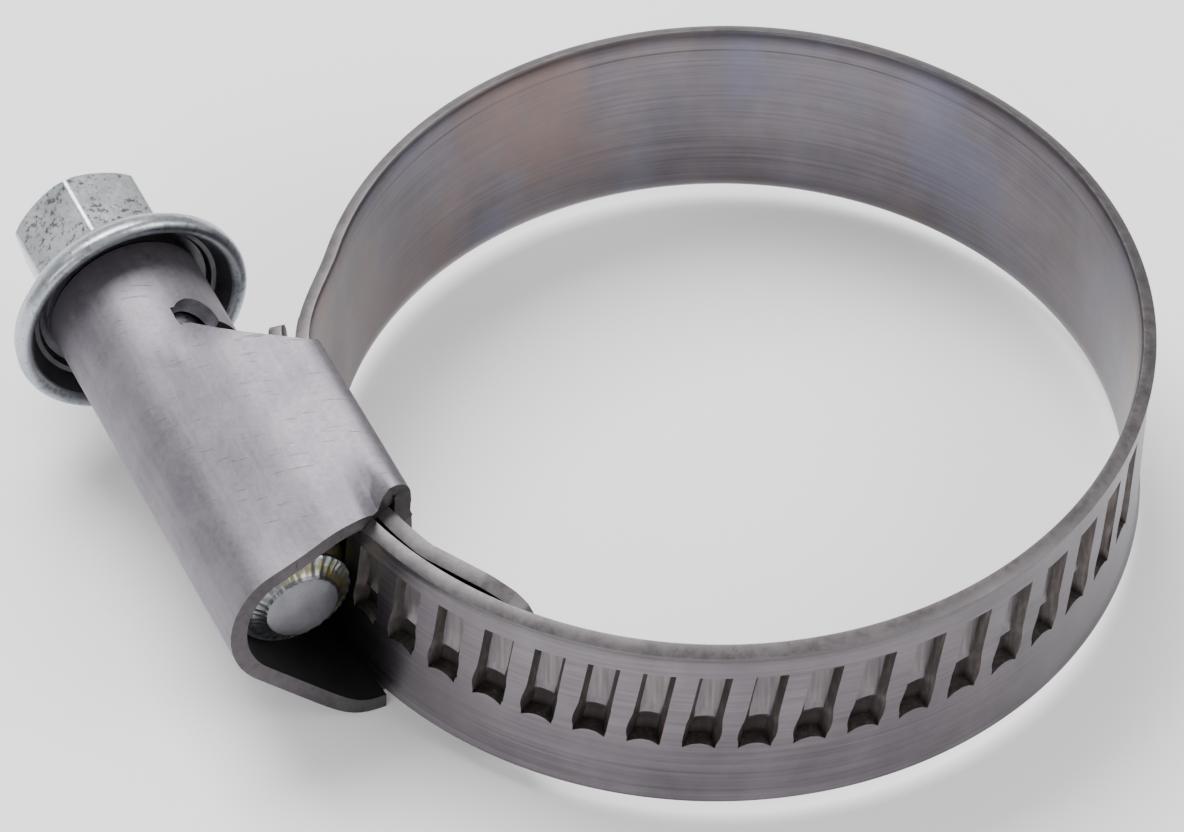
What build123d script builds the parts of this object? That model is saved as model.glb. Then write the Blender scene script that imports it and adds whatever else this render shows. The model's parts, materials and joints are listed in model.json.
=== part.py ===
from build123d import *

import math
import os

# Worm-drive hose clamp. Millimetres. Z is the hose axis and the origin is the centre of the
# hose seat on the lower edge of the band. X points from the hose axis to the housing, and the
# screw lies along Y with its hex head at the negative end.

# band
SEAT_R = 21.0            # radius of the inner face of the plain band, the hose seat
BAND_W = 12.0            # width of the band along Z
BAND_T = 0.8             # thickness of the band
FLARE_H = 1.2            # height of the flared strip along each edge
FLARE_ANGLE = 25.0       # how far each edge is turned outward, in degrees
SPIRAL_START = 150.0     # where the band leaves the seat circle to pass over its fixed end
SPIRAL_RISE = 1.15       # offset of the centre of the threaded arc, towards the housing
PLAIN_END = 330.0        # where the plain band becomes part of the fixed end
PLAIN_SPANS = 4          # spans of plain band that the strip is divided into
TAIL_ANGLE = -24.0       # free end of the threaded band, behind the housing
TAIL_CHAMFER = 0.8
SADDLE_FROM = -20.5      # stretch of the fixed end that lies on the housing's base plate
SADDLE_TO = 18.5
TONGUE_BEND = 21.5       # from here the tongue is straight, inside the threaded band's curve
TONGUE_BEND_R = 21.82
TONGUE_ANGLE = 37.5      # tip of the fixed end, in front of the housing
TONGUE_TIP_R = 21.7
TONGUE_R = 4.0

# pressed thread
PITCH = 2.8
SLOT_W = 1.65
SLOT_H = 5.5
SLOT_DEPTH = 0.56
SLOT_FIRST = -2
SLOT_LAST = 19
LAND_AFTER_THREADED_END = 9
SLOTS_PER_SPAN = 6
THREADED_SPANS = 2

# housing, folded from one sheet
SHEET = 0.9
EDGE_GAP = 0.15          # between the band's edges and the housing walls
CHANNEL_X = 24.5         # how far out the flat walls over the band's edges reach
TOP_SPREAD = 0.27        # how the outer corners spread as the sheet is followed outward
LOW_SPREAD = 0.4
CURL_ROUND = 0.72        # rounding of the curls beside the base plate
FRONT_Y = 5.5            # front opening, at the height of the screw
FRONT_LEAN = 9.6         # lean of the front opening, in degrees
REAR_Y = -12.4           # where the folded body ends and the round neck goes on
REAR_REACH = 13.9        # x + y on the bevelled rear corner
NECK_END_Y = -18.3
NECK_LAP = 0.2           # how far the neck reaches into the folded body
RELIEF_R = 1.1           # relief hole where the neck meets the body
RELIEF_BACK = 0.7        # its centre, behind the folded body's end
RELIEF_TILT = -24.0      # its lean about the screw, in degrees
RELIEF_REACH = (2.0, 8.0)

# worm screw
WORM_R = 3.25
WORM_CORE_R = 2.4
CREST_W = 0.95
ROOT_W = 1.5
ENGAGE = 0.38            # how deep the worm reaches into the band
BORE_GAP = 0.15
SCREW_Z = 7.2
WORM_REAR_Y = -11.6
TIP_Y = 5.0
TIP_CHAMFER = 0.5
GROOVE_R = 2.3           # groove that the crimped ring in the neck runs in
CRIMP_R = 2.6
CRIMP_Y = (-16.0, -15.0)
CRIMP_GAP = 0.2
FLANGE_R = 6.6
FLANGE_RIM_Y = -17.3
FLANGE_BACK_Y = -19.9
FLANGE_FLAT_R = 3.6      # flat of the flange around the hexagon
DISH_DEPTH = 1.75
DISH_FLOOR_R = 3.9
ROLL_R = 0.42            # rolled rim of the flange
HEX_SINK = 0.4           # how far the hexagon's prism reaches into the flange
HEX_FACE_R = 2.9         # flat end of the hexagon inside its chamfer
HEX_DOME = 1.05          # height of the chamfer
HEX_AF = 7.0
HEX_END_Y = -25.2
HEX_TURN = 18.0          # turn of the hexagon about the screw's axis, in degrees

WORM_SINK = 0.15         # how far the ridge reaches into the core
ARC_R = SEAT_R + BAND_T + SPIRAL_RISE      # outer face of the threaded band
ARC_X = -SPIRAL_RISE * math.cos(math.radians(SPIRAL_START))
ARC_Y = -SPIRAL_RISE * math.sin(math.radians(SPIRAL_START))
SLOT_STEP = math.degrees(PITCH / (ARC_R - 0.15))
SLOT_LEAN = math.degrees(math.atan(PITCH / (2 * math.pi * (WORM_R - ENGAGE / 2))))
SCREW_X = ARC_X + ARC_R - ENGAGE + WORM_R
BORE_R = WORM_R + BORE_GAP
SHELL_R = BORE_R + SHEET
BIG = 60.0


def band_section(inner_r):
    """Cross-section of the strip: flat in the middle, with both edges turned outward."""
    angle = math.radians(FLARE_ANGLE)
    bend = FLARE_H / math.sin(angle)
    top = BAND_W - FLARE_H
    lip_in = inner_r + bend * (1 - math.cos(angle))
    lip_out = inner_r + bend - (bend - BAND_T) * math.cos(angle)
    lip_out_z = top + (bend - BAND_T) * math.sin(angle)
    outer_r = inner_r + BAND_T
    with BuildSketch(Plane.XZ) as sketch:
        with BuildLine():
            Line((inner_r, FLARE_H), (inner_r, top))
            TangentArc((inner_r, top), (lip_in, BAND_W), tangent=(0, 1))
            Line((lip_in, BAND_W), (lip_out, lip_out_z))
            TangentArc((outer_r, top), (lip_out, lip_out_z), tangent=(0, 1))
            Line((outer_r, top), (outer_r, FLARE_H))
            TangentArc((outer_r, FLARE_H), (lip_out, BAND_W - lip_out_z), tangent=(0, -1))
            Line((lip_out, BAND_W - lip_out_z), (lip_in, 0))
            TangentArc((inner_r, FLARE_H), (lip_in, 0), tangent=(0, -1))
        make_face()
    return sketch.sketch


def plain_arc(start, end):
    """Stretch of plain band on the seat circle, between two angles about the hose axis."""
    turned = revolve(band_section(SEAT_R), Axis.Z, end - start)
    return Rot(0, 0, start) * turned


def threaded_arc(start, end, slots):
    """Stretch of band on the threaded arc, with its pressed slots cut to their floor."""
    turned = Rot(0, 0, start) * revolve(band_section(ARC_R - BAND_T), Axis.Z, end - start)
    for slot in slots:
        turned -= Rot(0, 0, slot * SLOT_STEP) * slot_cutter()
    return Pos(ARC_X, ARC_Y, 0) * turned


def slot_cutter():
    """One slot of the thread, leaning with the worm's helix."""
    depth = 2 * SLOT_DEPTH
    return Pos(ARC_R, 0, SCREW_Z) * Rot(-SLOT_LEAN, 0, 0) * Box(depth, SLOT_W, SLOT_H)


def polar(radius, angle):
    return (radius * math.cos(math.radians(angle)), radius * math.sin(math.radians(angle)))


def ease(start, end):
    """S-shaped step of the inner face from one radius to another, each given with its angle."""
    (r0, a0), (r1, a1) = start, end
    way = 1 if a1 > a0 else -1
    leave = polar(way, a0 + 90)
    arrive = polar(way, a1 + 90)
    return Spline(polar(r0, a0), polar(r1, a1), tangents=[leave, arrive])


def fixed_band_end():
    """Fixed end of the strip: it steps up onto the base plate and ends in a tongue."""
    lying = SEAT_R + SHEET
    bend = Vector(*polar(TONGUE_BEND_R, TONGUE_BEND))
    tip = Vector(*polar(TONGUE_TIP_R, TONGUE_ANGLE))
    leave = polar(1, SADDLE_TO + 90)
    with BuildLine() as path:
        CenterArc((0, 0), SEAT_R, PLAIN_END - 360, 1)
        ease((SEAT_R, PLAIN_END - 359), (lying, SADDLE_FROM))
        CenterArc((0, 0), lying, SADDLE_FROM, SADDLE_TO - SADDLE_FROM)
        Spline(polar(lying, SADDLE_TO), bend, tangents=[leave, (tip - bend).normalized()])
        Line(bend, tip)
    section = Rot(0, 0, PLAIN_END - 360) * band_section(SEAT_R)
    strip = sweep(section, path=path.wire())
    with BuildSketch(Plane.YZ.offset(SEAT_R - 8)) as outline:
        with Locations((tip.Y - BIG / 2, BAND_W / 2)):
            RectangleRounded(BIG, BAND_W, TONGUE_R)
    return strip & extrude(outline.sketch, BIG)


def threaded_band_end():
    """Free end of the strip, which runs through the housing under the worm."""
    end = (LAND_AFTER_THREADED_END + 0.5) * SLOT_STEP
    slots = range(SLOT_FIRST, LAND_AFTER_THREADED_END + 1)
    strip = threaded_arc(TAIL_ANGLE, end, slots)
    for z in (0, BAND_W):
        corner = Box(BIG, TAIL_CHAMFER * math.sqrt(2), TAIL_CHAMFER * math.sqrt(2))
        turned = Rot(0, 0, TAIL_ANGLE) * Pos(ARC_R, 0, z) * Rot(45, 0, 0) * corner
        strip -= Pos(ARC_X, ARC_Y, 0) * turned
    return strip


def band_spans():
    """The rest of the loop, divided into short rigid spans, from the fixed end onward."""
    spans = []
    step = (PLAIN_END - SPIRAL_START) / PLAIN_SPANS
    for number in range(PLAIN_SPANS):
        end = PLAIN_END - number * step
        spans.append(plain_arc(end - step, end))
    first_land = LAND_AFTER_THREADED_END + THREADED_SPANS * SLOTS_PER_SPAN
    end = SPIRAL_START
    for number in range(1, THREADED_SPANS + 1):
        land = first_land - number * SLOTS_PER_SPAN
        start = (land + 0.5) * SLOT_STEP
        slots = range(land + 1, min(land + SLOTS_PER_SPAN, SLOT_LAST) + 1)
        spans.append(threaded_arc(start, end, slots))
        end = start
    return spans


def tangent_point(corner, radius, upper):
    """Point where a line from a corner touches the round shell over the screw."""
    dx, dz = SCREW_X - corner[0], SCREW_Z - corner[1]
    reach = math.hypot(dx, dz)
    swing = math.asin(radius / reach) * (1 if upper else -1)
    heading = math.atan2(dz, dx) + swing
    length = math.sqrt(reach**2 - radius**2)
    return (corner[0] + length * math.cos(heading), corner[1] + length * math.sin(heading))


def housing_outline(radius, inset):
    """Section of the folded body across the screw, at the outer or the inner face of the sheet."""
    low = -EDGE_GAP - inset
    high = BAND_W + EDGE_GAP + inset
    near = SEAT_R - 8
    top_corner = (CHANNEL_X + TOP_SPREAD * inset, high)
    low_corner = (CHANNEL_X + LOW_SPREAD * inset, low)
    top_touch = tangent_point(top_corner, radius, True)
    low_touch = tangent_point(low_corner, radius, False)
    with BuildSketch(Plane.XZ) as sketch:
        with BuildLine():
            Polyline((near, low), (near, high), top_corner, top_touch)
            ThreePointArc(top_touch, (SCREW_X + radius, SCREW_Z), low_touch)
            Polyline(low_touch, low_corner, (near, low))
        make_face()
    return sketch.sketch


def housing_body():
    """Channel for the band with the screw tunnel over it, still closed at both ends."""
    outer = extrude(housing_outline(SHELL_R, SHEET), BIG / 2, both=True)
    inner = extrude(housing_outline(BORE_R, 0), BIG, both=True)
    seat = Cylinder(SEAT_R, 2 * BIG)
    plate = Cylinder(SEAT_R + SHEET, 2 * BIG)
    return (outer - seat) - (inner - plate)


def keep_beyond(place):
    """Large block on the +Y side of a placed XZ plane, for trimming the folded sheet."""
    return place * Pos(0, BIG, 0) * Box(4 * BIG, 2 * BIG, 4 * BIG)


def curl_rims(body):
    """Long edges where the sheet turns from the outer wall onto the saddle face."""
    middle = BAND_W / 2
    circles = body.edges().filter_by(GeomType.CIRCLE)
    on_seat = circles.filter_by(lambda edge: abs(edge.radius - SEAT_R) < 0.01)
    return on_seat.filter_by(lambda edge: abs(edge.center().Z - middle) > middle)


def neck():
    """Round neck behind the folded body, with the ring that is crimped into the screw."""
    length = REAR_Y - NECK_END_Y + 2 * NECK_LAP
    tube = Pos(0, 0, -(NECK_END_Y + REAR_Y) / 2) * Cylinder(SHELL_R, length)
    tube -= Cylinder(BORE_R, 2 * BIG)
    ring = Cylinder(BORE_R + NECK_LAP / 2, CRIMP_Y[1] - CRIMP_Y[0])
    ring -= Cylinder(CRIMP_R, BIG)
    return on_screw_axis(tube + Pos(0, 0, -sum(CRIMP_Y) / 2) * ring)


def relief():
    """Cutter for the relief hole."""
    near, far = RELIEF_REACH
    cutter = Pos(0, 0, (near + far) / 2) * Cylinder(RELIEF_R, far - near)
    return Pos(SCREW_X, REAR_Y - RELIEF_BACK, SCREW_Z) * Rot(0, RELIEF_TILT, 0) * cutter


def housing():
    """One-piece housing: saddle under the band, tunnel over the worm and a round neck."""
    body = housing_body()
    body &= keep_beyond(Pos(0, FRONT_Y, SCREW_Z) * Rot(FRONT_LEAN, 0, 0) * Rot(0, 0, 180))
    body &= keep_beyond(Pos(0, REAR_Y, 0))
    body &= keep_beyond(Pos(REAR_REACH, 0, 0) * Rot(0, 0, -45))
    body = fillet(curl_rims(body), CURL_ROUND)
    return body + neck() - relief()


def on_screw_axis(shape):
    """Place a shape made about Z, with the head upward, on the screw's axis along -Y."""
    return Pos(SCREW_X, 0, SCREW_Z) * Rot(90, 0, 0) * shape


def worm_thread():
    """Right-hand thread of the worm, as one helical ridge that runs out at both ends."""
    length = TIP_Y - WORM_REAR_Y
    base = WORM_CORE_R - WORM_SINK
    slope = (ROOT_W - CREST_W) / 2 / (WORM_R - WORM_CORE_R)
    half_base = ROOT_W / 2 + slope * WORM_SINK
    helix = Helix(PITCH, length + PITCH, base)
    start = helix @ 0
    with BuildSketch(Plane(start, x_dir=(1, 0, 0), z_dir=(0, -1, 0))) as profile:
        with BuildLine():
            Polyline(
                (0, -half_base),
                (WORM_R - base, -CREST_W / 2),
                (WORM_R - base, CREST_W / 2),
                (0, half_base),
                close=True,
            )
        make_face()
    return sweep(profile.sketch, path=helix, is_frenet=True)


def flange():
    """Dished flange of the screw, open towards the housing, with a rolled rim."""
    back, rim = -FLANGE_BACK_Y, -FLANGE_RIM_Y
    floor = (DISH_FLOOR_R, rim + DISH_DEPTH)
    outer = (FLANGE_R, rim + ROLL_R)
    inner = (FLANGE_R - 2 * ROLL_R, rim + ROLL_R)
    with BuildSketch(Plane.XZ) as sketch:
        with BuildLine():
            Polyline((0, floor[1]), (0, back), (FLANGE_FLAT_R, back))
            Spline((FLANGE_FLAT_R, back), (5.2, back - 0.55), (FLANGE_R - 0.12, rim + 1.0), outer)
            ThreePointArc(outer, (FLANGE_R - ROLL_R, rim), inner)
            Spline(inner, (5.35, rim + 1.1), (4.5, rim + 1.6), floor)
            Line(floor, (0, floor[1]))
        make_face()
    return revolve(sketch.sketch, Axis.Z)


def hex_head():
    """Hexagon of the screw, with its end chamfered all round."""
    height = FLANGE_BACK_Y - HEX_END_Y + HEX_SINK
    corner_r = HEX_AF / math.sqrt(3)
    side = (corner_r + 0.2, height - HEX_DOME)
    face = (HEX_FACE_R, height)
    prism = Rot(0, 0, HEX_TURN) * extrude(RegularPolygon(corner_r, 6), height)
    with BuildSketch(Plane.XZ) as dome:
        with BuildLine():
            Polyline((0, 0), (side[0], 0), side)
            ThreePointArc(side, (3.75, height - 0.4 * HEX_DOME), face)
            Polyline(face, (0, height), (0, 0))
        make_face()
    return Pos(0, 0, -FLANGE_BACK_Y - HEX_SINK) * (prism & revolve(dome.sketch, Axis.Z))


def worm_envelope():
    """Outer limit of the worm, chamfered at its tip."""
    rear, tip = -WORM_REAR_Y, -TIP_Y
    outer = WORM_R + 0.05
    with BuildSketch(Plane.XZ) as sketch:
        with BuildLine():
            Polyline(
                (0, tip),
                (outer - TIP_CHAMFER, tip),
                (outer, tip + TIP_CHAMFER),
                (outer, rear),
                (0, rear),
                close=True,
            )
        make_face()
    return revolve(sketch.sketch, Axis.Z)


def worm_journal():
    """Plain journal behind the worm, with the groove for the crimped ring, up to the flange."""
    rear, end = -WORM_REAR_Y, 2 - FLANGE_RIM_Y
    low, high = -CRIMP_Y[1] - CRIMP_GAP, -CRIMP_Y[0] + CRIMP_GAP
    journal_r = WORM_R - 0.1
    with BuildSketch(Plane.XZ) as sketch:
        with BuildLine():
            Polyline(
                (0, rear),
                (journal_r, rear),
                (journal_r, low),
                (GROOVE_R, low),
                (GROOVE_R, high),
                (journal_r, high),
                (journal_r, end),
                (0, end),
                close=True,
            )
        make_face()
    return revolve(sketch.sketch, Axis.Z)


def worm_screw():
    """Hex-head worm screw: head, dished flange, grooved journal and worm in one piece."""
    rear, tip = -WORM_REAR_Y, -TIP_Y
    phase = 360 * (ARC_Y - TIP_Y) / PITCH
    thread = Pos(0, 0, tip - PITCH / 2) * Rot(0, 0, phase) * worm_thread()
    core = Pos(0, 0, (tip + rear) / 2) * Cylinder(WORM_CORE_R, rear - tip)
    worm = core + (thread & worm_envelope())
    return on_screw_axis(worm + worm_journal() + flange() + hex_head())


os.makedirs("parts", exist_ok=True)
nodes = {
    "housing": housing(),
    "fixed_band_end": fixed_band_end(),
    "threaded_band_end": threaded_band_end(),
    "worm_screw": worm_screw(),
}
for index, span in enumerate(band_spans(), start=1):
    nodes[f"band_span_{index:02d}"] = span
for name, shape in nodes.items():
    export_step(shape, f"parts/{name}.step")
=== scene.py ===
import json
import math

import bmesh
import bpy
from mathutils import Matrix, Vector


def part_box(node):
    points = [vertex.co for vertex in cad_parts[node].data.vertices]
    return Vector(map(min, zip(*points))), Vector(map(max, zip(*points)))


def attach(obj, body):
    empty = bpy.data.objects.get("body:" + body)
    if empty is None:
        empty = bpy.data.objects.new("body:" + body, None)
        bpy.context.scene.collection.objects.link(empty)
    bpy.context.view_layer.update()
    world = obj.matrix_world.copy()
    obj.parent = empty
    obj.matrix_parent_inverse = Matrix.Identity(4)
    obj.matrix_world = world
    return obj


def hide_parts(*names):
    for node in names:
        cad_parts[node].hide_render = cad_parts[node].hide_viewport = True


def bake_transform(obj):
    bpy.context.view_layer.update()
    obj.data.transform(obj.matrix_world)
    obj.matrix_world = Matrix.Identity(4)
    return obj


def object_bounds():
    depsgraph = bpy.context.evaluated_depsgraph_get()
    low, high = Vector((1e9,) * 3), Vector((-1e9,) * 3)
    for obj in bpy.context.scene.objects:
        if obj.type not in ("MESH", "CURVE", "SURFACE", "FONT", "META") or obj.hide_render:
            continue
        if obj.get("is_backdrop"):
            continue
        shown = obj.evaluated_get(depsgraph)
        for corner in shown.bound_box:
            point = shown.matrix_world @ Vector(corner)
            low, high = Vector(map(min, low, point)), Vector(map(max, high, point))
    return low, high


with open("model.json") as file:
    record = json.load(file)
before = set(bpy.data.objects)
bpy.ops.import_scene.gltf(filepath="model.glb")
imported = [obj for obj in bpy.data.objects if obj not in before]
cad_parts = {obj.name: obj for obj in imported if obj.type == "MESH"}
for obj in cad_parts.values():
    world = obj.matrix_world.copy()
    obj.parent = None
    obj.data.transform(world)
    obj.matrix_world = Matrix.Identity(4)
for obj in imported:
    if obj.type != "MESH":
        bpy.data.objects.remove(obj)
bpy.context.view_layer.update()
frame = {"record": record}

bl_info = {
    "name": "Worm-drive hose clamp",
    "version": (1, 0, 0),
    "blender": (4, 5, 0),
    "location": "3D View > Sidebar > Hose clamp",
    "description": "Rolled band, folded housing and worm screw of a hose clamp",
    "category": "Object",
}

# Places that the frame gives. Lengths are in metres and angles in degrees.
MM = 0.001
RECORD = frame["record"]
JOINTS = {joint["name"]: joint for joint in RECORD["behaviour"]["joints"]}
FLEX = [JOINTS[name] for name in sorted(JOINTS) if name.startswith("band_flex")]
SEAT_R = next(m["dims"]["r_mm"] for m in RECORD["mounts"] if m["name"] == "hose_seat") * MM
SCREW_X, _, SCREW_Z = JOINTS["screw_turn"]["pos_m"]
BAND_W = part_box("threaded_band_end")[1][2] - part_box("threaded_band_end")[0][2]
HOUSING_LOW, HOUSING_HIGH = (Vector(corner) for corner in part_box("housing"))
SCREW_LOW, SCREW_HIGH = (Vector(corner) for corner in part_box("worm_screw"))
THREADED_JOINTS = 2  # flex joints on the threaded arc, the last ones of the chain
BEND_SHADE_HEIGHT = BAND_W - 1.25 * MM  # painted shade line inside, at the upper flare bend


def circle_through(a, b, c):
    """Centre and radius of the circle through three points of the XY plane."""
    ax, ay, bx, by, cx, cy = a[0], a[1], b[0], b[1], c[0], c[1]
    d = 2 * (ax * (by - cy) + bx * (cy - ay) + cx * (ay - by))
    aa, bb, cc = ax * ax + ay * ay, bx * bx + by * by, cx * cx + cy * cy
    x = (aa * (by - cy) + bb * (cy - ay) + cc * (ay - by)) / d
    y = (aa * (cx - bx) + bb * (ax - cx) + cc * (bx - ax)) / d
    return Vector((x, y)), math.hypot(ax - x, ay - y)


ARC_CENTRE, ARC_INNER_R = circle_through(*(FLEX[i]["pos_m"] for i in (-1, -2, -3)))
SPIRAL_START = math.degrees(math.atan2(-ARC_CENTRE.y, -ARC_CENTRE.x))


def smoothstep(low, high, value):
    t = min(max((value - low) / (high - low), 0.0), 1.0)
    return t * t * (3 - 2 * t)


# ---- properties


def length(name, description, millimetres):
    return bpy.props.FloatProperty(
        name=name, description=description, default=millimetres * MM, unit="LENGTH", precision=5
    )


def count(name, description, default):
    return bpy.props.IntProperty(name=name, description=description, default=default)


def colour(name, description, default):
    return bpy.props.FloatVectorProperty(
        name=name, description=description, default=default, subtype="COLOR", size=3, min=0, max=1
    )


def degrees(name, description, default):
    return bpy.props.FloatProperty(name=name, description=description, default=default)


class HoseClampBand(bpy.types.PropertyGroup):
    """Sizes of the steel strip."""

    thickness: length("Thickness", "Thickness of the strip", 0.8)
    flare_height: length("Flare height", "Height of each edge that is turned out", 1.2)
    flare_angle: degrees("Flare angle", "How far each edge is turned out, in degrees", 25.0)
    rim_round: length("Rim rounding", "Rounding of the sheared edges", 0.09)
    pitch: length("Pitch", "Distance between two pressed slots", 2.8)
    slot_width: length("Slot width", "Width of a slot along the band", 1.65)
    slot_height: length("Slot height", "Length of a slot across the band", 5.5)
    slot_depth: length("Slot depth", "Depth of a slot's floor", 0.54)
    slot_lean: degrees("Slot lean", "Lean of the slots, in degrees", 8.3)
    slot_draft: length("Slot draft", "Run of the slot's sloping walls", 0.24)
    first_slot: count("First slot", "Slot nearest the tail", -2)
    last_slot: count("Last slot", "Slot farthest along", 19)
    tail_angle: degrees("Tail", "Angle of the threaded end's tail", -24.0)
    saddle_rise: length("Saddle rise", "Step of the fixed end onto the base plate", 0.9)
    tongue_bend: degrees("Tongue bend", "Angle where the straight tongue starts", 21.5)
    tongue_bend_rise: length("Tongue bend rise", "Height of the tongue over the seat there", 0.82)
    tongue_angle: degrees("Tongue", "Angle of the tongue's tip", 37.5)
    tongue_tip_rise: length("Tongue tip rise", "Height of the tongue's tip over the seat", 0.70)


class HoseClampHousing(bpy.types.PropertyGroup):
    """Sizes of the folded housing."""

    sheet: length("Sheet", "Thickness of the sheet", 0.9)
    shell_radius: length("Shell radius", "Outside radius over the screw", 4.3)
    shoulder_x: length("Shoulder", "Outer corner of the flat over the band's edge", 24.75)
    curl_rise: length("Curl rise", "Height of the curl over the band's edge", 0.5)
    curl_x: length("Curl", "Straight outer side of the curl", 20.55)
    curl_front: length("Curl front", "Y where the curl ends at the front", 4.6)
    front_y: length("Front", "Front opening at the height of the screw", 5.75)
    front_lean: degrees("Front lean", "Lean of the front opening, in degrees", 4.7)
    rear_y: length("Rear", "Where the folded body meets the round neck", -12.4)
    rear_side: length("Rear side", "X where the bevelled rear edge starts", 26.1)
    rear_reach: length("Rear bevel", "Distance of the bevelled rear edge from the hose axis", 5.48)
    rear_turn: degrees("Rear turn", "Direction of the rear bevel's normal, in degrees", 57.3)
    relief_radius: length("Relief", "Radius of the relief notch at the neck", 1.3)


class HoseClampScrew(bpy.types.PropertyGroup):
    """Sizes of the worm screw."""

    across_flats: length("Across flats", "Hexagon across its flats", 7.0)
    hex_turn: degrees("Hexagon turn", "Turn of the hexagon about the screw, in degrees", 48.0)
    flange_radius: length("Flange radius", "Outside radius of the dished flange", 6.6)
    rim_y: length("Flange rim", "Y of the flange's open rim", -17.3)
    back_y: length("Flange back", "Y where the hexagon stands on the flange", -19.9)
    worm_radius: length("Worm radius", "Outside radius of the worm", 3.25)
    core_radius: length("Core radius", "Radius at the root of the worm", 2.4)
    worm_rear_y: length("Worm rear", "Y where the worm starts", -11.6)


class HoseClampColours(bpy.types.PropertyGroup):
    """Colours of the finishes."""

    band: colour("Band", "Rolled steel of the band", (0.205, 0.187, 0.203))
    # Band shade: tone of the darker rolled streaks, also painted shade on slot floors and pockets.
    band_streak_shade: colour("Band shade", "Darker rolled streaks", (0.12, 0.108, 0.12))
    rim: colour("Rim", "Sheared and worn edge of the band", (0.165, 0.152, 0.157))
    slot_floor: colour("Slot floor", "Drawn metal on the floor of the slots", (0.2, 0.183, 0.18))
    # Slot wall: dark painted shade for the slot walls, the pockets and the bend line inside.
    painted_shade: colour("Slot wall", "Torn walls of the pressed slots", (0.075, 0.065, 0.062))
    heat: colour("Heat tint", "Brown tint inside the band", (0.23, 0.155, 0.125))
    heat_cool: colour("Cool tint", "Blue-grey tint inside the band", (0.15, 0.165, 0.25))
    housing: colour("Housing", "Satin sheet of the housing", (0.235, 0.217, 0.243))
    housing_dark: colour("Housing shade", "Purple-grey cloud on the sheet", (0.17, 0.154, 0.18))
    lip: colour("Lip", "Sheared face of the sheet", (0.12, 0.11, 0.117))
    lip_dark: colour("Lip shade", "Darker parts of the sheared face", (0.075, 0.068, 0.072))
    edge: colour("Sheet edge", "Burnished line along the cut sheet", (0.62, 0.59, 0.62))
    # Inside: near-black painted shade on the inner faces of the folded sheet.
    inside: colour("Inside", "Oily inside of the folded sheet", (0.035, 0.033, 0.035))
    zinc: colour("Zinc", "Plating of the screw", (0.74, 0.775, 0.81))
    zinc_flange: colour("Zinc flange", "Plating of the flange", (0.44, 0.47, 0.50))
    # Zinc tip: dull zinc darkened as painted shade, on the screw's tip and the flange's dish.
    zinc_tip: colour("Zinc tip", "Dull plating of the screw's tip", (0.19, 0.19, 0.205))
    zinc_dark: colour("Zinc specks", "Dark specks in the plating", (0.10, 0.11, 0.13))
    zinc_bright: colour("Zinc edge", "Bright worn edges of the screw", (0.5, 0.525, 0.55))
    passivated: colour("Passivated", "Yellow film in the thread", (0.44, 0.40, 0.14))
    floor: colour("Floor", "Plain pale floor", (0.93, 0.93, 0.94))


# ---- materials


class Finish:
    """One node material, with short ways to add and join its nodes."""

    def __init__(self, name):
        self.material = bpy.data.materials.new(name)
        self.material.use_nodes = True
        self.tree = self.material.node_tree
        self.shader = self.tree.nodes["Principled BSDF"]
        self.place = self.add("ShaderNodeTexCoord").outputs["Object"]

    def add(self, kind, sockets=None, **settings):
        node = self.tree.nodes.new(kind)
        for key, value in settings.items():
            setattr(node, key, value)
        for key, value in (sockets or {}).items():
            self.put(node.inputs[key], value)
        return node

    def put(self, socket, value):
        if isinstance(value, bpy.types.NodeSocket):
            self.tree.links.new(value, socket)
        else:
            socket.default_value = (*value, 1.0) if socket.type == "RGBA" else value

    def set(self, **values):
        for key, value in values.items():
            self.put(self.shader.inputs[key.replace("_", " ")], value)

    def math(self, operation, a, b=0.0):
        return self.add("ShaderNodeMath", {0: a, 1: b}, operation=operation).outputs[0]

    def times(self, a, b):
        return self.math("MULTIPLY", a, b)

    def plus(self, a, b):
        return self.math("ADD", a, b)

    def axis(self, letter):
        return self.add("ShaderNodeSeparateXYZ", {"Vector": self.place}).outputs[letter]

    def noise(self, scale, detail=3.0, roughness=0.6, vector=None):
        sockets = {"Vector": vector or self.place, "Scale": scale}
        sockets.update({"Detail": detail, "Roughness": roughness})
        return self.add("ShaderNodeTexNoise", sockets).outputs["Fac"]

    def streaks(self, scales, detail=3.0, roughness=0.6, vector=None):
        """Noise drawn out along the axes that have small scales."""
        node = self.add("ShaderNodeMapping", {"Vector": vector or self.place, "Scale": scales})
        return self.noise(1.0, detail, roughness, node.outputs["Vector"])

    def ramp(self, value, low, high):
        sockets = {"Value": value, "From Min": low, "From Max": high}
        return self.add("ShaderNodeMapRange", sockets).outputs["Result"]

    def mix(self, factor, first, second):
        node = self.add("ShaderNodeMix", data_type="RGBA")
        for key, value in (("Factor", factor), ("A", first), ("B", second)):
            self.put(node.inputs[key], value)
        return node.outputs["Result"]

    def bump(self, height, strength, distance):
        sockets = {"Height": height, "Strength": strength, "Distance": distance}
        self.set(Normal=self.add("ShaderNodeBump", sockets).outputs["Normal"])


def scaled(base, factor):
    return tuple(min(1.0, factor * part) for part in base)


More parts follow.
